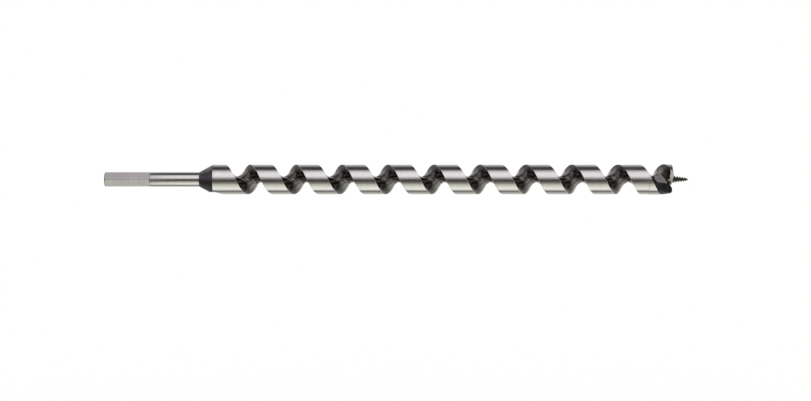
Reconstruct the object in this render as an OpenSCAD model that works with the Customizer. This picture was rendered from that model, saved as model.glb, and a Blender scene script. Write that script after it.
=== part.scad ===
// Auger bit for wood: hexagon shank, single spiral, cutter head and feed screw.
// The bit lies along +X with its shank end at the origin. Angles about the axis
// are measured from the top (+Z) towards the near side (-Y).

/* [Drive hexagon] */
// Width across the flats
hex_af = 11.1; // [9:0.1:13]
// Length of the hexagon
hex_len = 35.5; // [20:0.5:60]
// Axial length of the bevel on the rear end
hex_bevel = 1.2; // [0.4:0.1:2]
// How far that bevel cuts in from the corners
hex_bevel_in = 1.4; // [0.9:0.1:1.8]
// Axial length of the bevel where the hexagon meets the neck
hex_shoulder = 1.4; // [0.5:0.1:2]
// How far that bevel cuts in from the corners
hex_shoulder_in = 0.6; // [0.3:0.1:0.8]

/* [Round neck] */
// Diameter of the neck
neck_d = 11.6; // [9:0.1:14]
// Length of the neck
neck_len = 39.1; // [20:0.1:80]

/* [Shank cone] */
// Length of the cone between the neck and the spiral
cone_len = 11; // [6:0.1:16]

/* [Spiral] */
// How much smaller the spiral is across its land than the head
body_under = 0.5; // [0.2:0.1:1]
// Length from the cone to the head
body_len = 342.4; // [150:0.1:500]
// Advance of the flute in one turn
pitch = 36.25; // [30:0.05:48]
// Width of the flute's mouth along the axis
flute_w = 19.5; // [14:0.1:22]
// Diameter of the core left at the bottom of the flute
core_d = 3.8; // [3:0.1:8]
// Distance from the cone to where the flute first crosses the top
flute_lead = 19; // [16:0.1:30]
// Turn, in degrees, over which the flute runs out towards the shank
flute_fade = 290; // [200:5:320]
// How far the cutter stands clear of the land where the flute has run out
flute_exit = 1.5; // [1:0.1:3]

/* [Cutter head] */
// Cutting diameter
head_d = 24; // [20.5:0.1:29]
// Length from the spiral to the cutting edge
head_len = 20.2; // [18:0.1:24]
// Diameter of the core inside the head
head_core_d = 6.4; // [5:0.1:8]
// Diameter of the flat middle of the end face
face_d = 12.4; // [9:0.1:15]
// How far the end face falls back from there to the rim
face_fall = 1.3; // [0.6:0.1:2]
// Bevel on the rim's front corner
rim_bevel = 0.4; // [0.2:0.1:0.8]
// Slope of the end face behind the cutting edge, in degrees
relief = 3; // [2:1:6]
// How much is ground off the end face at the cutting edge
lip_grind = 0.1; // [0.05:0.05:0.4]

/* [Cutting lip] */
// Distance of the lip's ground face in front of the axis
lip_ahead = 3.6; // [3.5:0.1:5]
// Turn from the lip's ground face to the middle of the flute, in degrees
lip_turn = 37.5; // [33:0.5:45]
// Width of the lip's ground face along the axis
lip_w = 5; // [4.5:0.1:6.5]
// Lean of that face under the cutting edge, in degrees
lip_rake = 8; // [0:1:9]
// How far the lip's foot reaches up in front of the axis
foot_high = 2.9; // [2:0.1:4]
// How far it reaches down past the axis
foot_low = 0.9; // [0.5:0.1:1.5]

/* [Throat] */
// Thickness of the lip in front of the throat
throat_back = 3.4; // [2.8:0.1:4.2]
// Length of the throat along the axis
throat_len = 6.5; // [4:0.1:8]
// Distance of the throat's floor in front of the axis
throat_floor = 2.3; // [2.2:0.1:3]
// How far the throat reaches to the side of the axis where the lip is
throat_high = 6.5; // [5:0.1:8]
// How far it reaches to the other side
throat_low = 0.5; // [0.1:0.1:1]
// Turn from the throat's floor to the middle of the flute, in degrees
throat_turn = 82; // [76:1:88]

/* [Throat web] */
// Distance of the web's ground flat in front of the axis, carried on to the lip
web_ahead = 2.3; // [1.8:0.1:2.6]
// Slope of that flat, rising towards the shank, in degrees
web_slope = 17; // [14:1:24]
// Thickness of the web under its flat
web_t = 5; // [4:0.1:6]
// Turn from the web's ground flat to the middle of the flute, in degrees
web_turn = 88.5; // [80:0.5:98]

/* [Scoring spur] */
// Length of the spur's wing along its top
spur_len = 14.9; // [13:0.1:16]
// Lean of the wing's rear edge, along the edge of the land, in degrees
spur_lean = 32; // [28:1:36]
// How far the wing stops short of the cutting edge
spur_back = 1.3; // [0.8:0.1:2]
// Distance of the wing's top under the axis, at its rear
spur_top = 2.3; // [2.2:0.1:2.8]
// How much that top falls towards the front
spur_drop = 1; // [0.5:0.1:1.5]
// Length of the wing's sloping front corner
spur_nose = 2.3; // [1:0.1:3]
// Depth of that corner
spur_nose_in = 3.6; // [2:0.1:4]
// How far the wing reaches behind the axis
spur_far = 4.5; // [3:0.1:6]
// Distance of the wing's face in front of the axis, carried on to the lip
spur_ahead = 1.4; // [0.8:0.1:2]
// Slope of that face, rising towards the shank, in degrees
spur_face = 25; // [20:1:30]
// How much less far the wing stands out than the head's rim
spur_under = 0.25; // [0.1:0.05:0.5]
// Length of the taper at the wing's front
spur_taper_len = 6.5; // [4:0.1:9]
// How much its radius shrinks over that taper
spur_taper = 0.75; // [0.2:0.05:1.2]
// Radius of the wing's rounded front
spur_round = 1.5; // [0.8:0.1:2.5]
// Gap filled by the braze around the spur
braze_gap = 0.05; // [0.02:0.01:0.1]

/* [Feed screw] */
// Largest diameter of the screw
screw_d = 6; // [4:0.1:7]
// Length from the cutting edge to the point
screw_len = 11.8; // [8:0.1:16]
// Diameter where the needle point begins
screw_tip_d = 2; // [1:0.1:3]
// Length of the needle point
screw_point = 2; // [1:0.1:4]
// How deep the screw's collar sits in the head
screw_seat = 1.6; // [1.4:0.1:3]
// Diameter of the plain pin that holds the screw in the head
screw_pin_d = 3; // [2:0.1:3.6]
// Length of that pin
screw_pin_len = 7; // [4:0.1:9]
// Clearance of the pin and the collar in the head, on the radius
screw_fit = 0.03; // [0.01:0.01:0.1]

/* [Hidden] */
$fn = 96;

// Places along the axis
neck_z = hex_len;
cone_z = neck_z + neck_len;
body_z = cone_z + cone_len;
head_z = body_z + body_len;
lip_z = head_z + head_len;
flute_z = body_z + flute_lead;

// Radii
hex_r = hex_af / 2 / cos(30);
neck_r = neck_d / 2;
head_r = head_d / 2;
body_r = head_r - body_under / 2;
wing_r = head_r - spur_under;
screw_r = screw_d / 2;

// Sweep of the flute: steps in a turn and chords in its arc; and room for the cuts to run out
turn_steps = 24;
arc_steps = 12;
clear = 3;
bevel_room = 0.4;
mouth_rise = 0.4;
flute_depth = body_r + mouth_rise - core_d / 2;
fade_room = 15;
head_rise = 90;

// Corners of the web's ground flat: distance across the flat, and along the axis from the lip
web_flat = [[-0.1, -17], [-3.4, -10.8], [3.7, -4.8], [3, -13.8]];

// Angle of the flute's centre line at a place along the axis
function flute_angle(z) = 360 * (z - flute_z) / pitch;
function flute_place(angle) = flute_z + pitch * angle / 360;
head_angle = flute_angle(head_z);
tip_angle = flute_angle(lip_z);

// Smooth step from 0 to 1
function ramp(share) =
    let (held = max(0, min(1, share)))
    held * held * (3 - 2 * held);

// Share of the full depth: none where the flute runs out, less over the thicker core of the head
function flute_share(angle) =
    ramp(1 + angle / flute_fade)
    - (head_core_d - core_d) / 2 / flute_depth * ramp((angle - head_angle) / head_rise);

// Section of the cutter in the plane of the axis: an elliptic arc as wide as the mouth,
// closed outside the work
function flute_section(angle) =
    let (
        share = max(flute_share(angle), 0.001),
        mid = flute_place(angle),
        top = body_r + mouth_rise + flute_exit * pow(1 - share, 2),
        reach = acos(1 - share)
    )
    [
        for (step = [0:arc_steps])
            let (turn = reach * (2 * step / arc_steps - 1))
            [
                top - flute_depth * (cos(turn) - cos(reach)),
                mid + flute_w / 2 * sin(turn) / sin(reach)
            ],
        [head_r + 2 * clear, mid + flute_w / 2],
        [head_r + 2 * clear, mid - flute_w / 2]
    ];

function around(point, angle) = [point[0] * cos(angle), point[0] * sin(angle), point[1]];

// The bit is drawn along Z and then laid along X, with its top up
module along_bit() {
    rotate(180, [1, 0, 1]) children();
}

// Ring profile turned about the axis, given as [radius, place] points
module turned(profile) {
    rotate_extrude() polygon(profile);
}

// Solid swept by the cutter between two angles of the helix
module flute(first, last) {
    count = ceil((last - first) * turn_steps / 360);
    rings = [
        for (ring = [0:count])
            let (angle = first + ring * 360 / turn_steps)
            [for (point = flute_section(angle)) around(point, angle)]
    ];
    size = len(rings[0]);
    sides = [
        for (ring = [0:count - 1], side = [0:size - 1])
            let (
                near = ring * size + side,
                next = ring * size + (side + 1) % size
            )
            each [[near, near + size, next], [next, near + size, next + size]]
    ];
    start = [for (side = [0:size - 1]) side];
    end = [for (side = [size - 1:-1:0]) count * size + side];
    polyhedron([for (ring = rings) each ring], concat([start], sides, [end]));
}

// Outline of the hexagon's bevelled ends, turned in flat steps
module hex_outline() {
    steps = 12;
    rear_r = hex_r - hex_bevel_in;
    shoulder_r = hex_r - hex_shoulder_in;
    outer_r = hex_r + bevel_room;
    over = 1 / cos(180 / steps);
    rotate_extrude($fn = steps)
    polygon([
        [0, 0],
        [over * rear_r, 0],
        [over * outer_r, hex_bevel * (outer_r - rear_r) / hex_bevel_in],
        [over * outer_r, hex_len - hex_shoulder * (outer_r - shoulder_r) / hex_shoulder_in],
        [over * shoulder_r, hex_len],
        [0, hex_len]
    ]);
}

module drive_hex() {
    color("silver")
    along_bit()
    intersection() {
        rotate(30) cylinder(r = hex_r, h = hex_len, $fn = 6);
        hex_outline();
        rotate(15) hex_outline();
    }
}

module round_neck() {
    color("gainsboro")
    along_bit()
    translate([0, 0, neck_z]) cylinder(r = neck_r, h = neck_len);
}

module shank_cone() {
    color("dimgray")
    along_bit()
    difference() {
        translate([0, 0, cone_z]) cylinder(r1 = neck_r, r2 = body_r, h = cone_len);
        flute(-flute_fade - fade_room, flute_angle(body_z) + 180);
    }
}

module spiral_body() {
    color("lightgray")
    along_bit()
    difference() {
        translate([0, 0, body_z]) cylinder(r = body_r, h = body_len);
        flute(-flute_fade - fade_room, head_angle + 120);
    }
}

// Forged head before the flute: a straight rim, and an end face that falls back towards it
module head_blank() {
    turned([
        [0, head_z],
        [head_r, head_z],
        [head_r, lip_z - face_fall - rim_bevel],
        [head_r - rim_bevel, lip_z - face_fall],
        [face_d / 2, lip_z],
        [0, lip_z]
    ]);
}

// Throat behind the lip, with its floor in front of the axis
module throat() {
    rotate(tip_angle - throat_turn)
    translate([throat_floor, -throat_high, lip_z - throat_back - throat_len])
        cube([head_r + clear, throat_high + throat_low, throat_len]);
}

// Web that thickens the core in front of the lip, with one ground flat
module throat_web() {
    rotate(tip_angle - web_turn)
    translate([web_ahead, 0, lip_z])
    rotate([0, -web_slope, 0])
    translate([-web_t, 0, 0])
    rotate([90, 0, 90]) linear_extrude(web_t) polygon(web_flat);
}

// Plate of the lip in front of the throat, and the foot that joins it to the web
module lip_plate() {
    foot_w = lip_w + rim_bevel;
    intersection() {
        head_blank();
        rotate(tip_angle - lip_turn)
        translate([0, 0, lip_z]) {
            translate([0, -head_d, -throat_back])
                cube([lip_ahead, head_d + foot_low, throat_back]);
            translate([0, -foot_high, -foot_w]) cube([lip_ahead, foot_high + foot_low, foot_w]);
        }
    }
}

// Ground face of the lip, and the end face sloping away behind it
module lip_cut() {
    rotate(tip_angle - lip_turn)
    translate([lip_ahead, 0, lip_z - lip_grind]) {
        rotate([0, lip_rake, 0])
        translate([0, -head_d, -lip_w]) cube([head_d, head_d + clear, lip_w + clear]);
        rotate([0, -relief, 0])
        translate([-2 * head_d, -head_d, 0]) cube([2 * head_d + clear, 2 * head_d, clear + head_d]);
    }
}

// Outer shape of the spur's wing: a slight taper and a rounded front
module wing_blank() {
    round_steps = 8;
    front_z = lip_z - spur_back;
    front_r = wing_r - spur_taper;
    turned([
        [0, front_z - spur_len - clear],
        [wing_r, front_z - spur_len - clear],
        [wing_r, front_z - spur_taper_len],
        for (step = [0:round_steps])
            let (turn = 90 * step / round_steps)
            [
                front_r - spur_round * (1 - cos(turn)),
                front_z - spur_round * (1 - sin(turn))
            ],
        [0, front_z]
    ]);
}

// The wing seen from its face, cut off by that sloping face, larger all round by the gap given
module spur_wing(gap) {
    rear = -spur_back - spur_len - gap;
    front = -spur_back + gap;
    rear_top = spur_top - gap;
    front_top = spur_top + spur_drop - gap;
    bottom = head_r + clear;
    rear_low = rear + (bottom - rear_top) * tan(spur_lean);
    difference() {
        rotate(tip_angle - throat_turn)
        translate([-spur_far - gap, 0, lip_z])
        rotate([90, 0, 90])
        linear_extrude(spur_far + bottom)
        polygon([
            [rear_top, rear],
            [front_top, front - spur_nose],
            [front_top + spur_nose_in, front],
            [bottom, front],
            [bottom, rear_low]
        ]);
        rotate(tip_angle - web_turn)
        translate([spur_ahead + gap, 0, lip_z])
        rotate([0, -spur_face, 0])
        translate([0, -head_d, -2 * head_d]) cube([head_d, 2 * head_d, 3 * head_d]);
    }
}

module cutter_head() {
    color("darkgray")
    along_bit()
    difference() {
        union() {
            difference() {
                head_blank();
                flute(head_angle - 120, tip_angle + 120);
                throat();
            }
            throat_web();
            lip_plate();
        }
        lip_cut();
        spur_wing(braze_gap);
        translate([0, 0, lip_z - screw_seat])
            cylinder(r = screw_r + screw_fit, h = screw_seat + clear);
        translate([0, 0, lip_z - screw_seat - screw_pin_len])
            cylinder(r = screw_pin_d / 2 + screw_fit, h = screw_pin_len + clear);
    }
}

module scoring_spur() {
    color("dimgray")
    along_bit()
    intersection() {
        spur_wing(0);
        wing_blank();
    }
}

module feed_screw() {
    color("gray")
    along_bit()
    turned([
        [0, lip_z - screw_seat - screw_pin_len],
        [screw_pin_d / 2, lip_z - screw_seat - screw_pin_len],
        [screw_pin_d / 2, lip_z - screw_seat],
        [screw_r, lip_z - screw_seat],
        [screw_r, lip_z],
        [screw_tip_d / 2, lip_z + screw_len - screw_point],
        [0, lip_z + screw_len]
    ]);
}

drive_hex();
round_neck();
shank_cone();
spiral_body();
cutter_head();
scoring_spur();
feed_screw();
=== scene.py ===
import math

import bpy
from mathutils import Matrix, Vector


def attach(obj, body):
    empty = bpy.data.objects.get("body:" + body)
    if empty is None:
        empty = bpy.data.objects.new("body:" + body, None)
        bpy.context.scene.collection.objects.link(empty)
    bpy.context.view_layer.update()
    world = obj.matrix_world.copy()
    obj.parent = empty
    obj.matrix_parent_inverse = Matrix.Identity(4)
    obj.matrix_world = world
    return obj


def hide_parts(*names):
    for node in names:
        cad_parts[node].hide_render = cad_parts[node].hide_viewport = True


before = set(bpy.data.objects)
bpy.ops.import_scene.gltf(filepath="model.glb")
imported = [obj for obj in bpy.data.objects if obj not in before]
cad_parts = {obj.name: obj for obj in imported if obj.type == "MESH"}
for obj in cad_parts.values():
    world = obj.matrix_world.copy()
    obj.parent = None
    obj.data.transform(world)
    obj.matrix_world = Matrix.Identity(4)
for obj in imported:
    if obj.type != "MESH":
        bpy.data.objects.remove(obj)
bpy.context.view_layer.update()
scene = bpy.context.scene
mm = 0.001
hair = 0.01               # mm, slack when points are picked by their place
mergeGap = 0.002          # mm, points nearer than this become one
cutSlack = 1e-7           # metres, for points that lie on a cutting plane

# the bit lies along X, and angles go from the top towards the near side
bitFrame = Matrix(((0, 0, 1, 0), (0, -1, 0, 0), (1, 0, 0, 0), (0, 0, 0, 1)))


# helpers for modelling

def clamp(value, low=0, high=1):
    return max(low, min(high, value))


def leaveEdit():
    bpy.ops.object.mode_set(mode="OBJECT")


def clearSelection():
    if bpy.context.mode != "OBJECT":
        leaveEdit()
    bpy.ops.object.select_all(action="DESELECT")


def pickOnly(piece):
    clearSelection()
    piece.select_set(True)
    bpy.context.view_layer.objects.active = piece


def editAll(piece):
    pickOnly(piece)
    bpy.ops.object.mode_set(mode="EDIT")
    bpy.ops.mesh.select_all(action="SELECT")


def drawChain(name, points, closed=False):
    # one vertex, then extruded from point to point; points are (along, radius) in mm, on the top side
    clearSelection()
    bpy.ops.mesh.primitive_plane_add(size=mm)
    piece = bpy.context.object
    piece.name = name
    bpy.ops.object.mode_set(mode="EDIT")
    bpy.context.tool_settings.mesh_select_mode = (True, False, False)
    bpy.ops.mesh.select_all(action="SELECT")
    bpy.ops.mesh.merge(type="CENTER")
    along, radius = points[0]
    bpy.ops.transform.translate(value=(along * mm, 0, radius * mm))
    for nextAlong, nextRadius in points[1:]:
        step = ((nextAlong - along) * mm, 0, (nextRadius - radius) * mm)
        bpy.ops.mesh.extrude_region_move(TRANSFORM_OT_translate={"value": step})
        along, radius = nextAlong, nextRadius
    bpy.ops.mesh.select_all(action="SELECT")
    if closed:
        bpy.ops.mesh.edge_face_add()
    leaveEdit()
    return piece


def signedVolume(piece):
    total = 0
    piece.data.calc_loop_triangles()
    spots = piece.data.vertices
    for triangle in piece.data.loop_triangles:
        first, second, third = (spots[index].co for index in triangle.vertices)
        total += first.dot(second.cross(third))
    return total


def closeUp(piece):
    # doubles merged, thin slivers removed, faces turned outwards
    editAll(piece)
    bpy.ops.mesh.remove_doubles(threshold=mergeGap * mm)
    bpy.ops.mesh.dissolve_degenerate(threshold=mergeGap * mm)
    bpy.ops.mesh.select_all(action="SELECT")
    bpy.ops.mesh.normals_make_consistent(inside=False)
    leaveEdit()
    if signedVolume(piece) < 0:
        editAll(piece)
        bpy.ops.mesh.flip_normals()
        leaveEdit()


def trimEnds(piece, low, high):
    # cut square to the axis at both ends and filled
    editAll(piece)
    for along, rear in ((low, True), (high, False)):
        bpy.ops.mesh.select_all(action="SELECT")
        bpy.ops.mesh.bisect(plane_co=(along * mm, 0, 0), plane_no=(1, 0, 0), use_fill=True,
                            clear_inner=rear, clear_outer=not rear, threshold=cutSlack)
    leaveEdit()
    closeUp(piece)


def spinRound(name, points, steps):
    piece = drawChain(name, points)
    editAll(piece)
    bpy.ops.mesh.spin(steps=steps, angle=math.tau, center=(0, 0, 0), axis=(1, 0, 0))
    leaveEdit()
    closeUp(piece)
    return piece


def addBlock(name, corner, size, place):
    # box by its low corner and size in mm, set down by a matrix in mm
    clearSelection()
    bpy.ops.mesh.primitive_cube_add(size=1)
    piece = bpy.context.object
    piece.name = name
    middle = [low + wide / 2 for low, wide in zip(corner, size)]
    shape = Matrix.Translation(middle) @ Matrix.Diagonal((*size, 1))
    piece.matrix_world = Matrix.Scale(mm, 4) @ place @ shape
    bpy.ops.object.transform_apply(location=True, rotation=True, scale=True)
    return piece


def combine(piece, tool, how):
    # the cut faces keep the tool's finish
    pickOnly(piece)
    cut = piece.modifiers.new("cut", "BOOLEAN")
    cut.operation = how
    cut.solver = "MANIFOLD"
    cut.material_mode = "TRANSFER"
    cut.object = tool
    bpy.ops.object.modifier_apply(modifier=cut.name)


def selectEdges(piece, wanted):
    pickOnly(piece)
    bpy.ops.object.mode_set(mode="EDIT")
    bpy.context.tool_settings.mesh_select_mode = (False, True, False)
    bpy.ops.mesh.select_all(action="DESELECT")
    leaveEdit()
    spots = piece.data.vertices
    for edge in piece.data.edges:
        start, end = (spots[index].co for index in edge.vertices)
        edge.select = wanted(start, end)


def copyOf(piece, name):
    twin = piece.copy()
    twin.data = piece.data.copy()
    twin.name = name
    scene.collection.objects.link(twin)
    return twin


def throwAway(*pieces):
    for piece in pieces:
        bpy.data.objects.remove(piece)


def softenShading(piece, angle):
    pickOnly(piece)
    bpy.ops.object.shade_smooth_by_angle(angle=math.radians(angle))


def sharpenFinishes(piece):
    # a crisp line where two finishes meet
    finishes = {}
    for face in piece.data.polygons:
        for key in face.edge_keys:
            finishes.setdefault(key, set()).add(face.material_index)
    for edge in piece.data.edges:
        if len(finishes[edge.key]) > 1:
            edge.use_edge_sharp = True


def sharpenEnds(piece, *ends):
    # flat ends keep a crisp rim where the flute's wall runs into them
    spots = piece.data.vertices
    for edge in piece.data.edges:
        places = [spots[index].co.x / mm for index in edge.vertices]
        for end in ends:
            if max(abs(place - end) for place in places) < hair / 2:
                edge.use_edge_sharp = True


def seatPiece(piece, node):
    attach(piece, "root")
    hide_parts(node)


# the flute's shape, shared by the spiral, the cone and the head

flute = {
    "start": 104.6,       # where it first crosses the top
    "pitch": 36.25,
    "width": 19.5,
    "core": 1.9,          # radius left under it
    "mouth": 12.15,       # radius of its mouth, just over the land
    "fade": 290,          # degrees of run-out towards the shank
    "exit": 1.5,          # how far it lifts out of the steel there
    "leastShare": 0.001,  # of its depth, where it has run out
    "overcut": 6,         # how far its cutter stands out past the mouth
    "headStart": 428,
    "headCore": 3.2,
    "headRise": 90,       # degrees over which the core gets thicker
    "arcPoints": 40,
    "stepsPerTurn": 72,
}
fluteDepth = flute["mouth"] - flute["core"]
halfWidth = flute["width"] / 2
lipX = 448.2              # where the cutting lip is


def fluteAngle(along):
    return 360 * (along - flute["start"]) / flute["pitch"]


def fluteMiddle(angle):
    return flute["start"] + flute["pitch"] * angle / 360


headAngle = fluteAngle(flute["headStart"])
tipAngle = fluteAngle(lipX)


def smoothRamp(share):
    held = clamp(share)
    return held * held * (3 - 2 * held)


def fluteShare(angle):
    # share of the full depth: the run-out at the shank, less the thicker core of the head
    rise = (flute["headCore"] - flute["core"]) / fluteDepth
    runOut = smoothRamp(1 + angle / flute["fade"])
    thicker = rise * smoothRamp((angle - headAngle) / flute["headRise"])
    return max(runOut - thicker, flute["leastShare"])


def flutePoint(angle, lean, rim):
    # lean runs from -1 to 1 across the flute; at the ends it meets the rim's radius
    share = fluteShare(angle)
    reach = math.acos(1 - share)
    top = flute["mouth"] + flute["exit"] * (1 - share) ** 2
    edge = math.cos(reach) + (top - rim) / fluteDepth
    turn = lean * math.acos(min(1, edge))
    across = halfWidth * math.sin(turn) / math.sin(reach)
    return across, top - fluteDepth * (math.cos(turn) - math.cos(reach))


def placeOf(vertex):
    # distance from the flute's middle, angle along the helix, and radius
    x, y, z = vertex.co / mm
    side = math.degrees(math.atan2(-y, z))
    angle = side + 360 * round((fluteAngle(x) - side) / 360)
    return x - fluteMiddle(angle), angle, math.hypot(y, z)


def moveTo(vertex, angle, across, radius):
    turn = math.radians(angle)
    along = fluteMiddle(angle) + across
    vertex.co = Vector((along, -radius * math.sin(turn), radius * math.cos(turn))) * mm


def screwTurns(piece, turns, pitch, steps):
    pickOnly(piece)
    winding = piece.modifiers.new("winding", "SCREW")
    winding.axis = "X"
    winding.angle = math.tau
    winding.screw_offset = pitch * mm
    winding.iterations = turns
    winding.steps = steps
    winding.render_steps = steps
    winding.use_merge_vertices = False
    bpy.ops.object.modifier_apply(modifier=winding.name)


def fluteCutter(name, firstTurn, turns):
    # closed section of the cutter, screwed round and capped
    offset = fluteMiddle(360 * firstTurn)
    count = flute["arcPoints"]
    arc = []
    for step in range(count + 1):
        across, radius = flutePoint(0, 2 * step / count - 1, flute["mouth"])
        arc.append((offset + across, radius))
    outer = flute["mouth"] + flute["overcut"]
    points = arc + [(offset + halfWidth, outer), (offset - halfWidth, outer)]
    cutter = drawChain(name, points)
    pickOnly(cutter)
    bpy.ops.object.mode_set(mode="EDIT")
    bpy.ops.mesh.select_all(action="DESELECT")
    leaveEdit()
    ends = cutter.data.vertices
    ends[0].select = True
    ends[len(ends) - 1].select = True
    bpy.ops.object.mode_set(mode="EDIT")
    bpy.ops.mesh.edge_face_add()
    leaveEdit()
    screwTurns(cutter, turns, flute["pitch"], flute["stepsPerTurn"])
    for vertex in cutter.data.vertices:
        across, angle, radius = placeOf(vertex)
        if radius < flute["mouth"] + hair:
            lean = math.asin(clamp(across / halfWidth, -1)) / (math.pi / 2)
            moveTo(vertex, angle, *flutePoint(angle, lean, flute["mouth"]))
    editAll(cutter)
    bpy.ops.mesh.fill_holes(sides=0)
    leaveEdit()
    closeUp(cutter)
    return cutter


# finishes: shared node groups first, then one material for each finish

def newGroup(name, inputs, outputs):
    group = bpy.data.node_groups.new(name, "ShaderNodeTree")
    for label, kind in inputs:
        group.interface.new_socket(label, in_out="INPUT", socket_type=kind)
    for label, kind in outputs:
        group.interface.new_socket(label, in_out="OUTPUT", socket_type=kind)
    start = group.nodes.new("NodeGroupInput")
    end = group.nodes.new("NodeGroupOutput")
    return group, start, end


def makeGrindGroup():
    # grinding lines round the axis, fine and coarse, and slow patches
    group, start, end = newGroup(
        "grindMarks",
        [("Fine", "NodeSocketVector"), ("Coarse", "NodeSocketVector"), ("Patch", "NodeSocketFloat")],
        [("Lines", "NodeSocketFloat"), ("Patches", "NodeSocketFloat")])
    nodes, links = group.nodes, group.links
    spot = nodes.new("ShaderNodeTexCoord")
    heights = []
    for label, detail in (("Fine", 2), ("Coarse", 1)):
        stretch = nodes.new("ShaderNodeVectorMath")
        stretch.operation = "MULTIPLY"
        links.new(spot.outputs["Object"], stretch.inputs[0])
        links.new(start.outputs[label], stretch.inputs[1])
        noise = nodes.new("ShaderNodeTexNoise")
        noise.inputs["Scale"].default_value = 1
        noise.inputs["Detail"].default_value = detail
        links.new(stretch.outputs[0], noise.inputs["Vector"])
        heights.append(noise)
    blend = nodes.new("ShaderNodeMath")
    blend.operation = "ADD"
    links.new(heights[0].outputs["Fac"], blend.inputs[0])
    links.new(heights[1].outputs["Fac"], blend.inputs[1])
    half = nodes.new("ShaderNodeMath")
    half.operation = "MULTIPLY"
    half.inputs[1].default_value = 0.5
    links.new(blend.outputs[0], half.inputs[0])
    links.new(half.outputs[0], end.inputs["Lines"])
    patch = nodes.new("ShaderNodeTexNoise")
    patch.inputs["Detail"].default_value = 3
    links.new(spot.outputs["Object"], patch.inputs["Vector"])
    links.new(start.outputs["Patch"], patch.inputs["Scale"])
    links.new(patch.outputs["Fac"], end.inputs["Patches"])
    return group


def makeRubGroup():
    # where the oxide is rubbed to bare steel along edges, broken up by noise
    group, start, end = newGroup(
        "edgeRub", [("Break", "NodeSocketFloat")], [("Bare", "NodeSocketFloat")])
    nodes, links = group.nodes, group.links
    edge = nodes.new("ShaderNodeAttribute")
    edge.attribute_name = "rub"
    spot = nodes.new("ShaderNodeTexCoord")
    noise = nodes.new("ShaderNodeTexNoise")
    noise.inputs["Scale"].default_value = 420
    noise.inputs["Detail"].default_value = 3
    links.new(spot.outputs["Object"], noise.inputs["Vector"])
    lessen = nodes.new("ShaderNodeMath")
    lessen.operation = "MULTIPLY"
    links.new(noise.outputs["Fac"], lessen.inputs[0])
    links.new(start.outputs["Break"], lessen.inputs[1])
    bare = nodes.new("ShaderNodeMath")
    bare.operation = "SUBTRACT"
    bare.use_clamp = True
    links.new(edge.outputs["Fac"], bare.inputs[0])
    links.new(lessen.outputs[0], bare.inputs[1])
    links.new(bare.outputs[0], end.inputs["Bare"])
    return group


grindMarks = makeGrindGroup()
edgeRub = makeRubGroup()
noiseSpan = (0.3, 0.7)    # the part of a noise's range that is used
bumpHeight = 0.0001       # metres


def mapRange(nodes, links, source, given, wanted=(0, 1), smooth=False):
    stretch = nodes.new("ShaderNodeMapRange")
    stretch.interpolation_type = "SMOOTHSTEP" if smooth else "LINEAR"
    stretch.inputs["From Min"].default_value = given[0]
    stretch.inputs["From Max"].default_value = given[1]
    stretch.inputs["To Min"].default_value = wanted[0]
    stretch.inputs["To Max"].default_value = wanted[1]
    links.new(source, stretch.inputs["Value"])
    return stretch.outputs["Result"]


def mixTone(nodes, links, share, first, second):
    # the colours of a Mix node are its inputs 6 and 7, and its output 2
    mix = nodes.new("ShaderNodeMix")
    mix.data_type = "RGBA"
    links.new(share, mix.inputs["Factor"])
    for index, tone in ((6, first), (7, second)):
        if isinstance(tone, tuple):
            mix.inputs[index].default_value = (*tone, 1)
        else:
            links.new(tone, mix.inputs[index])
    return mix.outputs[2]


def makeSteel(name, look):
    # bare or oxidised steel: two tones and the bump by the grinding lines, roughness by patches
    material = bpy.data.materials.new(name)
    material.use_nodes = True
    nodes, links = material.node_tree.nodes, material.node_tree.links
    shader = nodes["Principled BSDF"]
    shader.inputs["Metallic"].default_value = look["metal"]
    marks = nodes.new("ShaderNodeGroup")
    marks.node_tree = grindMarks
    marks.inputs["Fine"].default_value = look["fine"]
    marks.inputs["Coarse"].default_value = look["coarse"]
    marks.inputs["Patch"].default_value = look["patch"]
    lines = mapRange(nodes, links, marks.outputs["Lines"], noiseSpan)
    tone = mixTone(nodes, links, lines, look["dark"], look["light"])
    rough = mapRange(nodes, links, marks.outputs["Patches"], noiseSpan, look["rough"])
    if "bare" in look:
        rub = nodes.new("ShaderNodeGroup")
        rub.node_tree = edgeRub
        rub.inputs["Break"].default_value = look["break"]
        tone = mixTone(nodes, links, rub.outputs["Bare"], tone, look["bare"])
    links.new(tone, shader.inputs["Base Color"])
    links.new(rough, shader.inputs["Roughness"])
    bump = nodes.new("ShaderNodeBump")
    bump.inputs["Strength"].default_value = look["bump"]
    bump.inputs["Distance"].default_value = bumpHeight
    links.new(marks.outputs["Lines"], bump.inputs["Height"])
    links.new(bump.outputs["Normal"], shader.inputs["Normal"])
    return material


hexSteel = makeSteel("hexSteel", {
    "metal": 1, "dark": (0.60, 0.59, 0.60), "light": (0.71, 0.70, 0.71), "rough": (0.30, 0.38),
    "fine": (2600, 120, 120), "coarse": (620, 60, 60), "patch": 160, "bump": 0.12,
})
endSteel = makeSteel("endSteel", {
    "metal": 1, "dark": (0.055, 0.052, 0.038), "light": (0.10, 0.095, 0.072), "rough": (0.36, 0.46),
    "fine": (1400, 1400, 1400), "coarse": (420, 420, 420), "patch": 300, "bump": 0.15,
})
neckSteel = makeSteel("neckSteel", {
    "metal": 1, "dark": (0.68, 0.68, 0.68), "light": (0.76, 0.76, 0.76), "rough": (0.09, 0.14),
    "fine": (3600, 160, 160), "coarse": (900, 90, 90), "patch": 120, "bump": 0.05,
})
landSteel = makeSteel("landSteel", {
    "metal": 1, "dark": (0.72, 0.72, 0.72), "light": (0.81, 0.81, 0.81), "rough": (0.14, 0.2),
    "fine": (3200, 260, 260), "coarse": (700, 240, 240), "patch": 140, "bump": 0.05,
})
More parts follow.
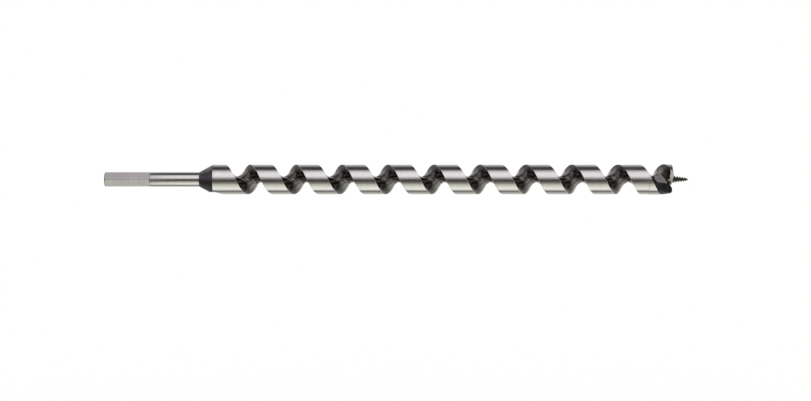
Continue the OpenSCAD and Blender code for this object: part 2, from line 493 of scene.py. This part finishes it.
fluteBlack = makeSteel("fluteBlack", {
    "metal": 1, "dark": (0.13, 0.128, 0.126), "light": (0.20, 0.196, 0.19), "rough": (0.07, 0.13),
    "fine": (700, 700, 700), "coarse": (160, 160, 160), "patch": 220, "bump": 0.06,
    "bare": (0.55, 0.53, 0.50), "break": 0.9,
})
coneBlack = makeSteel("coneBlack", {
    "metal": 1, "dark": (0.090, 0.087, 0.094), "light": (0.15, 0.145, 0.156), "rough": (0.30, 0.40),
    "fine": (1400, 300, 300), "coarse": (300, 200, 200), "patch": 260, "bump": 0.15,
})
spurBlack = makeSteel("spurBlack", {
    "metal": 1, "dark": (0.045, 0.044, 0.046), "light": (0.10, 0.098, 0.10), "rough": (0.36, 0.5),
    "fine": (900, 900, 900), "coarse": (300, 300, 300), "patch": 300, "bump": 0.15,
    "bare": (0.40, 0.40, 0.40), "break": 1.2,
})
# the flute's black oxide made darker: painted shade for the throat pocket, the lip plate and the seats
# round the spur and the screw
oxideWithPaintedShade = makeSteel("oxideWithPaintedShade", {
    "metal": 1, "dark": (0.042, 0.041, 0.042), "light": (0.115, 0.112, 0.113), "rough": (0.36, 0.5),
    "fine": (900, 900, 900), "coarse": (300, 300, 300), "patch": 300, "bump": 0.15,
})
screwBlack = makeSteel("screwBlack", {
    "metal": 1, "dark": (0.06, 0.06, 0.058), "light": (0.20, 0.20, 0.19), "rough": (0.22, 0.34),
    "fine": (1800, 1800, 1800), "coarse": (500, 500, 500), "patch": 500, "bump": 0.12,
})
webSteel = makeSteel("webSteel", {
    "metal": 1, "dark": (0.40, 0.393, 0.40), "light": (0.62, 0.61, 0.62), "rough": (0.30, 0.40),
    "fine": (900, 900, 4200), "coarse": (240, 240, 1300), "patch": 260, "bump": 0.15,
})
lipSteel = makeSteel("lipSteel", {
    "metal": 1, "dark": (0.50, 0.49, 0.44), "light": (0.62, 0.61, 0.55), "rough": (0.28, 0.4),
    "fine": (300, 300, 5200), "coarse": (120, 120, 1600), "patch": 260, "bump": 0.15,
})
dishSteel = makeSteel("dishSteel", {
    "metal": 1, "dark": (0.44, 0.43, 0.39), "light": (0.56, 0.55, 0.50), "rough": (0.28, 0.4),
    "fine": (300, 900, 900), "coarse": (120, 300, 300), "patch": 260, "bump": 0.12,
})
print("finishes", len(bpy.data.materials), "materials")


def dress(piece, *finishes):
    piece.data.materials.clear()
    for finish in finishes:
        piece.data.materials.append(finish)


# spiral body

spiral = {
    "start": 85.6,
    "end": 428,
    "radius": 11.75,
    "edgeRound": 0.16,
    "roundSteps": [(0.05, 0.9), (0.3, 0.3)],      # shares of it, past the mouth and down
    "support": 0.12,      # narrow strip beside the round
    "landLoop": 4,        # next line of points, from the mouth
    "rubDepth": 0.9,      # how far down the flute's wall the edge is rubbed bright
    "firstTurn": -2,
    "turns": 12,
    "smooth": 32,         # degrees up to which faces shade as one
}


def makeSpiralBody():
    radius = spiral["radius"]
    edge = spiral["edgeRound"]
    offset = fluteMiddle(360 * spiral["firstTurn"])
    count = flute["arcPoints"]
    mouth = flutePoint(0, 1, radius)[0]
    half = flute["pitch"] / 2
    wallTop = radius - 0.95 * edge    # between the flute's wall and the round
    rightLand = [(mouth + out * edge, radius - down * edge) for out, down in spiral["roundSteps"]]
    rightLand += [
        (mouth + edge, radius), (mouth + edge + spiral["support"], radius),
        (mouth + spiral["landLoop"], radius), (half, radius),
    ]
    arc = [flutePoint(0, 2 * step / count - 1, radius - edge) for step in range(count + 1)]
    leftLand = [(-across, height) for across, height in reversed(rightLand)]
    section = leftLand + arc + rightLand
    body = drawChain("spiralBody", [(offset + across, height) for across, height in section])
    screwTurns(body, spiral["turns"], flute["pitch"], flute["stepsPerTurn"])
    for vertex in body.data.vertices:
        across, angle, height = placeOf(vertex)
        if abs(across) > mouth + edge + hair:
            continue
        side = math.copysign(1, across)
        if height < wallTop:
            lean = math.asin(clamp(across / halfWidth, -1)) / math.asin(arc[-1][0] / halfWidth)
            spot = flutePoint(angle, clamp(lean, -1), radius - edge)
            moveTo(vertex, angle, spot[0], min(spot[1], radius))
        else:
            shift = flutePoint(angle, side, radius - edge)[0] - side * mouth
            moveTo(vertex, angle, across + shift, height)
    closeUp(body)
    trimEnds(body, spiral["start"], spiral["end"])
    return body


def markRub(piece, outer, depth):
    # 1 at the outer edge, down to 0 at the given depth under it
    rub = piece.data.attributes.new("rub", "FLOAT", "POINT")
    for vertex, mark in zip(piece.data.vertices, rub.data):
        radius = math.hypot(vertex.co.y, vertex.co.z) / mm
        mark.value = clamp(1 - (outer - radius) / depth)


def paintByRadius(piece, outer):
    # slot 0 on the ground land, slot 1 in the flute
    spots = piece.data.vertices
    for face in piece.data.polygons:
        reach = [math.hypot(*spots[index].co.yz) / mm for index in face.vertices]
        face.material_index = 0 if min(reach) > outer else 1


spiralBody = makeSpiralBody()
dress(spiralBody, landSteel, fluteBlack)
landLow = spiral["radius"] - 1.2 * spiral["edgeRound"]
paintByRadius(spiralBody, landLow)
markRub(spiralBody, spiral["radius"], spiral["rubDepth"])
softenShading(spiralBody, spiral["smooth"])
sharpenEnds(spiralBody, spiral["start"], spiral["end"])
seatPiece(spiralBody, "spiral_body")
print("spiral body", len(spiralBody.data.polygons), "faces")


# drive hexagon

hexagon = {
    "flats": 11.1,
    "length": 35.5,
    "cornerRound": 0.3,
    "bevel": 1.2,         # along the axis, at the rear end
    "bevelIn": 1.4,
    "shoulder": 1.4,      # along the axis, at the neck
    "shoulderIn": 0.6,
    "spare": 0.4,         # room of the turned outline over the corners
    "turnSteps": 144,
    "smooth": 25,
}


def makeDriveHex():
    corner = hexagon["flats"] / 2 / math.cos(math.pi / 6)
    length = hexagon["length"]

    def atCorner(start, end):
        # the long edges
        return abs(start.x - end.x) > 0.9 * length * mm and start.yz.length > 0.9 * corner * mm

    bar = spinRound("driveHex", [(0, 0), (0, corner), (length, corner), (length, 0)], 6)
    bar.rotation_euler.x = math.pi / 6
    pickOnly(bar)
    bpy.ops.object.transform_apply(location=False, rotation=True, scale=False)
    selectEdges(bar, atCorner)
    bpy.ops.object.mode_set(mode="EDIT")
    bpy.ops.mesh.bevel(offset=hexagon["cornerRound"] * mm, segments=3, affect="EDGES")
    leaveEdit()
    outer = corner + hexagon["spare"]
    rear = corner - hexagon["bevelIn"]
    front = corner - hexagon["shoulderIn"]
    rearRun = hexagon["bevel"] * (outer - rear) / hexagon["bevelIn"]
    frontRun = hexagon["shoulder"] * (outer - front) / hexagon["shoulderIn"]
    turned = spinRound("turnedEnds", [
        (0, 0), (0, rear), (rearRun, outer),
        (length - frontRun, outer), (length, front), (length, 0),
    ], hexagon["turnSteps"])
    combine(bar, turned, "INTERSECT")
    throwAway(turned)
    closeUp(bar)
    return bar


driveHex = makeDriveHex()
dress(driveHex, hexSteel, endSteel)
rearFacing = -0.3         # a normal past this is on the rear end or its bevel
for face in driveHex.data.polygons:
    if face.normal.x < rearFacing:
        face.material_index = 1
softenShading(driveHex, hexagon["smooth"])
seatPiece(driveHex, "drive_hex")
print("drive hexagon", len(driveHex.data.polygons), "faces")


# round neck

neck = {
    "start": 35.5,
    "end": 74.6,
    "radius": 5.8,
    "rounding": 0.45,     # at the hexagon
    "roundSteps": 6,
    "frontBreak": 0.1,    # at the cone
    "steps": 128,
    "smooth": 25,
}


def makeNeck():
    start, end, radius = neck["start"], neck["end"], neck["radius"]
    rounding, broken = neck["rounding"], neck["frontBreak"]
    points = [(start, 0)]
    for step in reversed(range(neck["roundSteps"] + 1)):
        turn = math.radians(90 * step / neck["roundSteps"])
        along = start + rounding * (1 - math.sin(turn))
        points.append((along, radius - rounding * (1 - math.cos(turn))))
    points += [(end - broken, radius), (end, radius - broken), (end, 0)]
    return spinRound("roundNeck", points, neck["steps"])


roundNeck = makeNeck()
dress(roundNeck, neckSteel)
softenShading(roundNeck, neck["smooth"])
seatPiece(roundNeck, "round_neck")
print("round neck", len(roundNeck.data.polygons), "faces")


# black cone, with the flute's run-out cut into its rim

cone = {"start": 74.6, "end": 85.6, "small": 5.8, "large": 11.75, "steps": 192, "smooth": 30}


def makeCone():
    start, end = cone["start"], cone["end"]
    blank = spinRound("shankCone", [
        (start, 0), (start, cone["small"]), (end, cone["large"]), (end, 0),
    ], cone["steps"])
    cutter = fluteCutter("coneCutter", firstTurn=-1, turns=1)
    combine(blank, cutter, "DIFFERENCE")
    throwAway(cutter)
    closeUp(blank)
    return blank


shankCone = makeCone()
dress(shankCone, coneBlack)
softenShading(shankCone, cone["smooth"])
sharpenEnds(shankCone, cone["start"], cone["end"])
seatPiece(shankCone, "shank_cone")
print("shank cone", len(shankCone.data.polygons), "faces")


# cutter head: turned blank, flute, throat web, ground lip, and the seats of the spur and the screw

head = {
    "start": 428,
    "radius": 12,
    "rearBreak": 0.2,
    "rimEnd": 446.5,
    "rimBevel": 0.4,
    "faceRadius": 6.2,    # flat middle of the end face
    "relief": 3,          # slope of the end face behind the lip, degrees
    "grind": 0.1,         # taken off the end face at the lip
    "lipAhead": 3.6,      # from the axis to the lip's face
    "lipTurn": 37.5,      # degrees back from the flute's middle
    "lipWidth": 5,
    "lipRake": 8,         # degrees
    "lipThick": 3.4,
    "footHigh": 2.9,      # the foot's reach to both sides of the axis
    "footLow": 0.9,
    "dishDepth": 1.4,     # hollow of the end face round the screw
    "dishFloor": 3,       # radius of its flat floor
    "dishStep": 0.55,     # at its rim
    "dishInner": 7,
    "dishOuter": 7.4,
    "dishSteps": 96,
    "clear": 2,           # how far the turned tools reach out of the end face
    "over": 3,            # and the ground ones past the edge they cut
    "steps": 240,
    "smooth": 28,
}
beyond = 2 * head["radius"]           # block size that clears the head
screwSeat = {"floor": 8.63, "bore": 1.53, "shoulder": 1.63, "collar": 3.03, "steps": 64}
throat = {"turn": 82, "corner": (2.3, -6.5, -9.9), "size": (15, 7, 6.5)}
web = {
    "turn": 88.5,
    "ahead": 2.3,
    "slope": 17,          # degrees
    "thick": 5,
    "outline": [(-0.1, -17), (-3.4, -10.8), (3.7, -4.8), (3, -13.8)],
}
spur = {
    "length": 14.9,
    "back": 1.3,          # how far it stops short of the lip
    "lean": 32,           # degrees of its rear edge
    "top": 2.3,           # under the axis, at the rear
    "drop": 1,            # and lower by this at the front
    "nose": 2.3,
    "noseIn": 3.6,
    "far": 4.5,           # its reach to the far side of the axis
    "bottom": 15,
    "ahead": 1.4,
    "face": 25,           # degrees of its sloping face
    "radius": 11.75,
    "taperRun": 6.5,
    "taper": 0.75,
    "frontRound": 1.5,
    "roundSteps": 8,
    "behind": 3,          # how far its turned outline runs on behind it
    "gap": 0.05,
    "edgeRound": 0.3,
    "edgeSteps": 3,
    "edgeAngle": 40,      # degrees from which an edge is rounded
    "smooth": 35,
}


def headPlace(turn, ahead=0, lean=0, back=0):
    # turned from the middle of the flute, moved out in front of the axis, and leant along it
    return (bitFrame @ Matrix.Rotation(math.radians(tipAngle - turn), 4, "Z")
            @ Matrix.Translation((ahead, 0, lipX - back)) @ Matrix.Rotation(math.radians(lean), 4, "Y"))


def makePrism(name, outline, low, high, place):
    # an outline of (across, along) points, drawn out from low to high
    prism = drawChain(name, outline, True)
    editAll(prism)
    bpy.ops.mesh.extrude_region_move(TRANSFORM_OT_translate={"value": (0, (high - low) * mm, 0)})
    leaveEdit()
    lay = Matrix(((0, 1, 0, low * mm), (1, 0, 0, 0), (0, 0, 1, 0), (0, 0, 0, 1)))
    spot = place.copy()
    spot.translation *= mm
    prism.matrix_world = spot @ lay
    bpy.ops.object.transform_apply(location=True, rotation=True, scale=True)
    closeUp(prism)
    return prism


def makeHeadBlank(name):
    rimEnd, bevel, radius = head["rimEnd"], head["rimBevel"], head["radius"]
    start, broken = head["start"], head["rearBreak"]
    return spinRound(name, [
        (start, 0), (start, radius - broken), (start + broken, radius), (rimEnd, radius),
        (rimEnd + bevel, radius - bevel), (lipX, head["faceRadius"]), (lipX, 0),
    ], head["steps"])


def makeWing(name, gap):
    # the spur's wing, with its rear edge along the land and a sloping front face
    rear = -spur["back"] - spur["length"] - gap
    front = -spur["back"] + gap
    rearTop = spur["top"] - gap
    frontTop = rearTop + spur["drop"]
    bottom = spur["bottom"]
    rearLow = rear + (bottom - rearTop) * math.tan(math.radians(spur["lean"]))
    wing = makePrism(name, [
        (rearTop, rear), (frontTop, front - spur["nose"]), (frontTop + spur["noseIn"], front),
        (bottom, front), (bottom, rearLow),
    ], -spur["far"] - gap, bottom, headPlace(throat["turn"]))
    slope = addBlock("slopeBlock", (0, -beyond, -2 * beyond), (beyond, 2 * beyond, 3 * beyond),
                     headPlace(web["turn"], spur["ahead"] + gap, -spur["face"]))
    combine(wing, slope, "DIFFERENCE")
    throwAway(slope)
    return wing


def makeWeb():
    # bright on its front, black elsewhere
    place = headPlace(web["turn"], web["ahead"], -web["slope"])
    plate = makePrism("throatWeb", web["outline"], -web["thick"], 0, place)
    dress(plate, fluteBlack, webSteel)
    outward = place.to_3x3() @ Vector((1, 0, 0))
    for face in plate.data.polygons:
        face.material_index = 1 if face.normal.dot(outward) > 0.99 else 0
    return plate


def makeLipPlate(shell):
    # plate of the lip in front of the throat, and the foot that joins it to the web
    place = headPlace(head["lipTurn"])
    footWide = head["lipWidth"] + head["rimBevel"]
    low, ahead, high = head["footLow"], head["lipAhead"], head["footHigh"]
    thick = head["lipThick"]
    plate = addBlock("lipPlate", (0, -beyond, -thick), (ahead, beyond + low, thick), place)
    foot = addBlock("lipFoot", (0, -high, -footWide), (ahead, high + low, footWide), place)
    combine(plate, foot, "UNION")
    # the lip plate takes the darker oxide, whose extra darkness is painted shade
    dress(plate, oxideWithPaintedShade)
    combine(plate, shell, "INTERSECT")
    throwAway(foot)
    return plate


def makeFaceDish():
    floor, clearX = lipX - head["dishDepth"], lipX + head["clear"]
    return spinRound("faceDish", [
        (floor, 0), (floor, head["dishFloor"]), (lipX - head["dishStep"], head["dishInner"]),
        (lipX, head["dishOuter"]), (clearX, head["dishOuter"]), (clearX, 0),
    ], head["dishSteps"])


def makeScrewSeat():
    # bore of the pin, and the wider seat of the collar
    bore, collar = screwSeat["bore"], screwSeat["collar"]
    floor, shoulder = lipX - screwSeat["floor"], lipX - screwSeat["shoulder"]
    clearX = lipX + head["clear"]
    return spinRound("screwSeat", [
        (floor, 0), (floor, bore), (shoulder, bore),
        (shoulder, collar), (clearX, collar), (clearX, 0),
    ], screwSeat["steps"])


def makeHead():
    # the same plain cuts on blank and web, throat and flute on the blank alone, then both joined
    blank = makeHeadBlank("cutterHead")
    shell = copyOf(blank, "headShell")
    dress(shell, landSteel)
    plate = makeWeb()
    combine(plate, shell, "INTERSECT")
    lip = makeLipPlate(shell)
    combine(plate, lip, "UNION")
    dress(blank, landSteel)
    lipWide, over = head["lipWidth"], head["over"]
    raked = addBlock("rakedBlock", (0, -beyond, -lipWide), (beyond, beyond + over, lipWide + over),
                     headPlace(head["lipTurn"], head["lipAhead"], head["lipRake"], head["grind"]))
    relieved = addBlock("relievedBlock", (-2 * beyond, -beyond, 0),
                        (2 * beyond + over, 2 * beyond, beyond + over),
                        headPlace(head["lipTurn"], head["lipAhead"], -head["relief"], head["grind"]))
    hollow = addBlock("throatBlock", throat["corner"], throat["size"], headPlace(throat["turn"]))
    wing = makeWing("spurSeat", spur["gap"])
    seat = makeScrewSeat()
    dish = makeFaceDish()
    # the seats of the spur and the screw leave walls in the darker oxide: painted shade in the gaps
    cuts = (
        (raked, lipSteel), (relieved, lipSteel), (dish, dishSteel),
        (wing, oxideWithPaintedShade), (seat, oxideWithPaintedShade),
    )
    for block, finish in cuts:
        dress(block, finish)
        combine(blank, block, "DIFFERENCE")
        combine(plate, block, "DIFFERENCE")
    # the throat pocket's walls take the darker oxide: painted shade for the deep hollow
    dress(hollow, oxideWithPaintedShade)
    combine(blank, hollow, "DIFFERENCE")
    cutter = fluteCutter("headCutter", firstTurn=8, turns=2)
    dress(cutter, fluteBlack)
    combine(blank, cutter, "DIFFERENCE")
    combine(blank, plate, "UNION")
    throwAway(cutter, plate, lip, shell, raked, relieved, dish, hollow, wing, seat)
    return blank


cutterHead = makeHead()
markRub(cutterHead, head["radius"], spiral["rubDepth"])
softenShading(cutterHead, head["smooth"])
sharpenFinishes(cutterHead)
sharpenEnds(cutterHead, head["start"])
seatPiece(cutterHead, "cutter_head")
print("cutter head", len(cutterHead.data.polygons), "faces")


# scoring spur, brazed into the head

def makeSpurShell():
    front = lipX - spur["back"]
    outer = spur["radius"]
    bend = spur["frontRound"]
    rear = front - spur["length"] - spur["behind"]
    points = [(rear, 0), (rear, outer), (front - spur["taperRun"], outer)]
    for step in range(spur["roundSteps"] + 1):
        turn = math.radians(90 * step / spur["roundSteps"])
        along = front - bend * (1 - math.sin(turn))
        points.append((along, outer - spur["taper"] - bend * (1 - math.cos(turn))))
    points.append((front, 0))
    return spinRound("spurShell", points, head["steps"])


def makeSpur():
    wing = makeWing("scoringSpur", 0)
    shell = makeSpurShell()
    combine(wing, shell, "INTERSECT")
    throwAway(shell)
    closeUp(wing)
    rounding = wing.modifiers.new("rounding", "BEVEL")
    rounding.width = spur["edgeRound"] * mm
    rounding.segments = spur["edgeSteps"]
    rounding.limit_method = "ANGLE"
    rounding.angle_limit = math.radians(spur["edgeAngle"])
    pickOnly(wing)
    bpy.ops.object.modifier_apply(modifier=rounding.name)
    closeUp(wing)
    return wing


scoringSpur = makeSpur()
dress(scoringSpur, spurBlack)
markRub(scoringSpur, head["radius"], spiral["rubDepth"])
softenShading(scoringSpur, spur["smooth"])
seatPiece(scoringSpur, "scoring_spur")
print("scoring spur", len(scoringSpur.data.polygons), "faces")


# feed screw: one tooth screwed round, then drawn down to the point

screw = {
    "rear": 446.6,
    "tip": 460,
    "pitch": 2.02,
    "crestTop": 449.3,    # where a crest passes the top
    "lead": 3,            # turns of thread before that crest
    "turns": 9,
    "stepsPerTurn": 40,
    "flank": [(0.1, 0.97), (0.22, 0.6), (0.38, 0.04), (0.5, 0)],      # of a tooth, in pitches and depths
    "base": 3.0,          # crest radius at the lip
    "end": 1.45,          # crest radius where the point starts
    "pointStart": 458,
    "needle": 0.02,       # least radius
    "depth": 1.15,
    "slimming": 0.7,      # how the depth follows the crest's radius, as a power
    "fadeEnd": 0.8,       # where the thread ends, before the tip
    "fadeRun": 2,
    "pinRadius": 1.5,
    "pinRear": 439.6,
    "pinBreak": 0.3,
    "pinSteps": 48,
    "smooth": 50,
}


def screwCrest(along):
    if along < lipX:
        return screw["base"]
    if along < screw["pointStart"]:
        share = (along - lipX) / (screw["pointStart"] - lipX)
        return screw["base"] + share * (screw["end"] - screw["base"])
    pointed = screw["end"] * (screw["tip"] - along) / (screw["tip"] - screw["pointStart"])
    return max(screw["needle"], pointed)


def makeFeedScrew():
    pitch, base, depth = screw["pitch"], screw["base"], screw["depth"]
    start = screw["crestTop"] - screw["lead"] * pitch
    flank = screw["flank"]
    tooth = [(-run, rise) for run, rise in reversed(flank)] + [(0, 1)] + flank
    points = [(start + pitch * run, base - depth + depth * rise) for run, rise in tooth]
    thread = drawChain("feedScrew", points)
    screwTurns(thread, screw["turns"], pitch, screw["stepsPerTurn"])
    for vertex in thread.data.vertices:
        along = vertex.co.x / mm
        radius = vertex.co.yz.length
        rise = (radius / mm - base + depth) / depth
        crest = screwCrest(along)
        fade = clamp((screw["tip"] - screw["fadeEnd"] - along) / screw["fadeRun"])
        root = crest - depth * (crest / base) ** screw["slimming"] * fade
        wanted = max(screw["needle"], root + rise * (crest - root)) * mm
        vertex.co.y *= wanted / radius
        vertex.co.z *= wanted / radius
    closeUp(thread)
    trimEnds(thread, screw["rear"], screw["tip"])
    pinRear, pinRadius, broken = screw["pinRear"], screw["pinRadius"], screw["pinBreak"]
    pin = spinRound("screwPin", [
        (pinRear, 0), (pinRear, pinRadius - broken), (pinRear + broken, pinRadius),
        (lipX, pinRadius), (lipX, 0),
    ], screw["pinSteps"])
    combine(thread, pin, "UNION")
    throwAway(pin)
    closeUp(thread)
    return thread


feedScrew = makeFeedScrew()
dress(feedScrew, screwBlack)
softenShading(feedScrew, screw["smooth"])
seatPiece(feedScrew, "feed_screw")
print("feed screw", len(feedScrew.data.polygons), "faces")


# stage: white floor, and a wide light tent that only the steel reflects

stage = {
    "middleX": 0.23,
    "floorZ": -0.2,
    "floorSize": 8,
    "tentRadius": 3,
    "nearBlend": (0.22, 0.42),        # where an end's light takes over, in shares of the radius
    "farBlend": (0.62, 0.95),
}
# light of the tent with its tint, by degrees up from the level in front of the bit:
# one list square to the bit, and two towards each end
tentAcross = [
    (-180, 0.85, (1, 0.97, 0.92)),
    (-155, 0.7, (1, 0.97, 0.92)),
    (-132, 0.55, (1, 0.98, 0.92)),
    (-119, 0.4, (1, 0.96, 0.88)),
    (-108, 0.2, (1, 0.96, 0.88)),
    (-99, 0.2, (1, 0.97, 0.9)),
    (-88, 1, (1, 0.99, 0.94)),
    (-68, 1, (1, 1, 0.88)),
    (-48, 0.68, (1, 1, 0.86)),
    (-24, 0.18, (1, 1, 0.85)),
    (-12, 0.05, (1, 0.96, 0.88)),
    (-4, 0.07, (1, 0.95, 0.9)),
    (7, 0.4, (1, 0.94, 0.93)),
    (24, 1, (1, 0.95, 0.94)),
    (48, 1, (1, 0.95, 0.95)),
    (64, 0.65, (1, 0.93, 0.98)),
    (81, 0.06, (1, 0.92, 0.93)),
    (104, 0.04, (1, 0.93, 0.93)),
    (120, 0.34, (1, 0.93, 0.93)),
    (138, 0.5, (1, 0.96, 0.95)),
    (156, 1, (1, 0.95, 0.98)),
    (180, 0.85, (1, 0.97, 0.92)),
]
tentRear = [
    (-180, 0.5, (1, 0.96, 0.9)),
    (-135, 0.35, (1, 0.98, 0.94)),
    (-105, 0.6, (1, 1, 0.95)),
    (-75, 0.3, (1, 1, 0.95)),
    (-45, 0.15, (1, 1, 1)),
    (-30, 0.15, (1, 1, 1)),
    (0, 0.45, (0.96, 0.93, 1)),
    (20, 0.48, (0.96, 0.92, 1)),
    (36, 0.38, (0.96, 0.92, 1)),
    (60, 0.15, (1, 0.95, 1)),
    (75, 0.2, (1, 0.95, 1)),
    (92, 0.45, (1, 0.95, 1)),
    (108, 0.95, (1, 0.96, 1)),
    (122, 1.1, (1, 0.96, 1)),
    (135, 0.9, (1, 0.95, 0.96)),
    (152, 0.5, (1, 0.92, 0.84)),
    (180, 0.5, (1, 0.94, 0.88)),
]
tentRearEnd = [
    (-180, 0.4, (1, 0.96, 0.9)),
    (-150, 0.12, (1, 1, 1)),
    (-40, 0.12, (1, 1, 1)),
    (-12, 0.2, (0.96, 0.93, 1)),
    (10, 0.38, (0.96, 0.92, 1)),
    (34, 0.6, (0.96, 0.92, 1)),
    (56, 0.66, (0.96, 0.92, 1)),
    (76, 0.4, (0.98, 0.93, 1)),
    (98, 0.17, (1, 0.94, 0.9)),
    (130, 0.28, (1, 0.93, 0.85)),
    (180, 0.4, (1, 0.94, 0.88)),
]
tentFront = [
    (-180, 1, (1, 0.97, 0.9)),
    (-165, 1, (1, 0.97, 0.9)),
    (-150, 0.65, (1, 0.97, 0.88)),
    (-130, 1.1, (1, 0.98, 0.93)),
    (-110, 1.4, (1, 1, 0.95)),
    (-92, 1.15, (1, 1, 0.95)),
    (-60, 0.55, (1, 1, 0.94)),
    (-30, 0.85, (1, 1, 0.96)),
    (-15, 0.75, (1, 0.99, 0.97)),
    (10, 0.36, (1, 0.97, 0.98)),
    (38, 0.17, (1, 0.97, 1)),
    (60, 0.42, (1, 0.98, 1)),
    (78, 1, (1, 1, 1)),
    (92, 1.2, (1, 1, 0.99)),
    (106, 0.8, (1, 0.98, 0.96)),
    (135, 0.15, (1, 0.95, 0.9)),
    (155, 0.4, (1, 0.96, 0.9)),
    (180, 1, (1, 0.97, 0.9)),
]
tentFrontEnd = [
    (-180, 0.65, (1, 0.96, 0.88)),
    (-150, 0.4, (1, 0.96, 0.86)),
    (-90, 0.35, (1, 0.97, 0.9)),
    (-60, 0.26, (1, 0.97, 0.92)),
    (-35, 0.32, (1, 0.98, 0.95)),
    (0, 0.2, (1, 0.98, 0.97)),
    (30, 0.12, (1, 0.98, 0.98)),
    (135, 0.1, (1, 0.97, 0.95)),
    (165, 0.55, (1, 0.96, 0.9)),
    (180, 0.65, (1, 0.96, 0.88)),
]


def addFloor():
    clearSelection()
    place = (stage["middleX"], 0, stage["floorZ"])
    bpy.ops.mesh.primitive_plane_add(size=stage["floorSize"], location=place)
    floor = bpy.context.object
    floor.name = "floor"
    material = bpy.data.materials.new("whiteFloor")
    material.use_nodes = True
    shader = material.node_tree.nodes["Principled BSDF"]
    shader.inputs["Base Color"].default_value = (1, 1, 1, 1)
    shader.inputs["Roughness"].default_value = 0.9
    shader.inputs["Specular IOR Level"].default_value = 0
    floor.data.materials.append(material)
    floor.visible_glossy = False


def toneRamp(nodes, links, share, tones):
    blend = nodes.new("ShaderNodeValToRGB")
    blend.color_ramp.interpolation = "EASE"
    stops = blend.color_ramp.elements
    for degrees, light, tint in tones[1:-1]:
        stops.new((degrees + 180) / 360)
    for stop, (degrees, light, tint) in zip(stops, tones):
        stop.color = (*(light * part for part in tint), 1)
    links.new(share, blend.inputs["Fac"])
    return blend.outputs["Color"]


def addTent():
    clearSelection()
    bpy.ops.mesh.primitive_uv_sphere_add(segments=96, ring_count=48, radius=stage["tentRadius"],
                                         location=(stage["middleX"], 0, 0))
    tent = bpy.context.object
    tent.name = "tent"
    material = bpy.data.materials.new("tentLight")
    material.use_nodes = True
    nodes, links = material.node_tree.nodes, material.node_tree.links
    nodes.remove(nodes["Principled BSDF"])
    spot = nodes.new("ShaderNodeTexCoord")
    apart = nodes.new("ShaderNodeSeparateXYZ")
    links.new(spot.outputs["Object"], apart.inputs[0])
    nearer = nodes.new("ShaderNodeMath")
    nearer.operation = "MULTIPLY"
    nearer.inputs[1].default_value = -1
    links.new(apart.outputs["Y"], nearer.inputs[0])
    angle = nodes.new("ShaderNodeMath")
    angle.operation = "ARCTAN2"
    links.new(apart.outputs["Z"], angle.inputs[0])
    links.new(nearer.outputs[0], angle.inputs[1])
    share = mapRange(nodes, links, angle.outputs[0], (-math.pi, math.pi))
    tone = toneRamp(nodes, links, share, tentAcross)
    near, far = stage["nearBlend"], stage["farBlend"]
    for side, blend, tones in ((-1, near, tentRear), (-1, far, tentRearEnd),
                               (1, near, tentFront), (1, far, tentFrontEnd)):
        span = [side * reach * stage["tentRadius"] for reach in blend]
        along = mapRange(nodes, links, apart.outputs["X"], span, smooth=True)
        tone = mixTone(nodes, links, along, tone, toneRamp(nodes, links, share, tones))
    glow = nodes.new("ShaderNodeEmission")
    links.new(tone, glow.inputs["Color"])
    links.new(glow.outputs[0], nodes["Material Output"].inputs["Surface"])
    tent.data.materials.append(material)
    tent.visible_camera = False
    tent.visible_diffuse = False
    tent.visible_shadow = False
    tent.visible_transmission = False


addFloor()
addTent()


# camera as in the photograph: level, square to the bit

view = {
    "width": 811,         # of the picture, in pixels
    "height": 401,
    "distance": 1.6,      # metres from the bit's axis
    "across": 0.6397,     # metres in view there
    "rearX": 105.05,      # pixel column of the bit's rear end
    "axisY": 179.4,       # pixel row of its axis
    "sensor": 36,
    "clipEnd": 50,
}


def addCamera():
    data = bpy.data.cameras.new("camera")
    camera = bpy.data.objects.new("camera", data)
    scene.collection.objects.link(camera)
    scale = view["across"] / view["width"]
    camera.location = ((view["width"] / 2 - view["rearX"]) * scale, -view["distance"],
                       (view["axisY"] - view["height"] / 2) * scale)
    camera.rotation_euler = (math.pi / 2, 0, 0)
    data.sensor_width = view["sensor"]
    data.lens = view["sensor"] * view["distance"] / view["across"]
    data.clip_end = view["clipEnd"]
    scene.camera = camera


def lightWorld():
    world = bpy.data.worlds.new("studio")
    scene.world = world
    world.use_nodes = True
    background = world.node_tree.nodes["Background"]
    background.inputs["Color"].default_value = (1, 1, 1, 1)
    background.inputs["Strength"].default_value = 1


addCamera()
lightWorld()
scene.view_settings.view_transform = "Standard"
print("stage and camera at", view["distance"], "m")
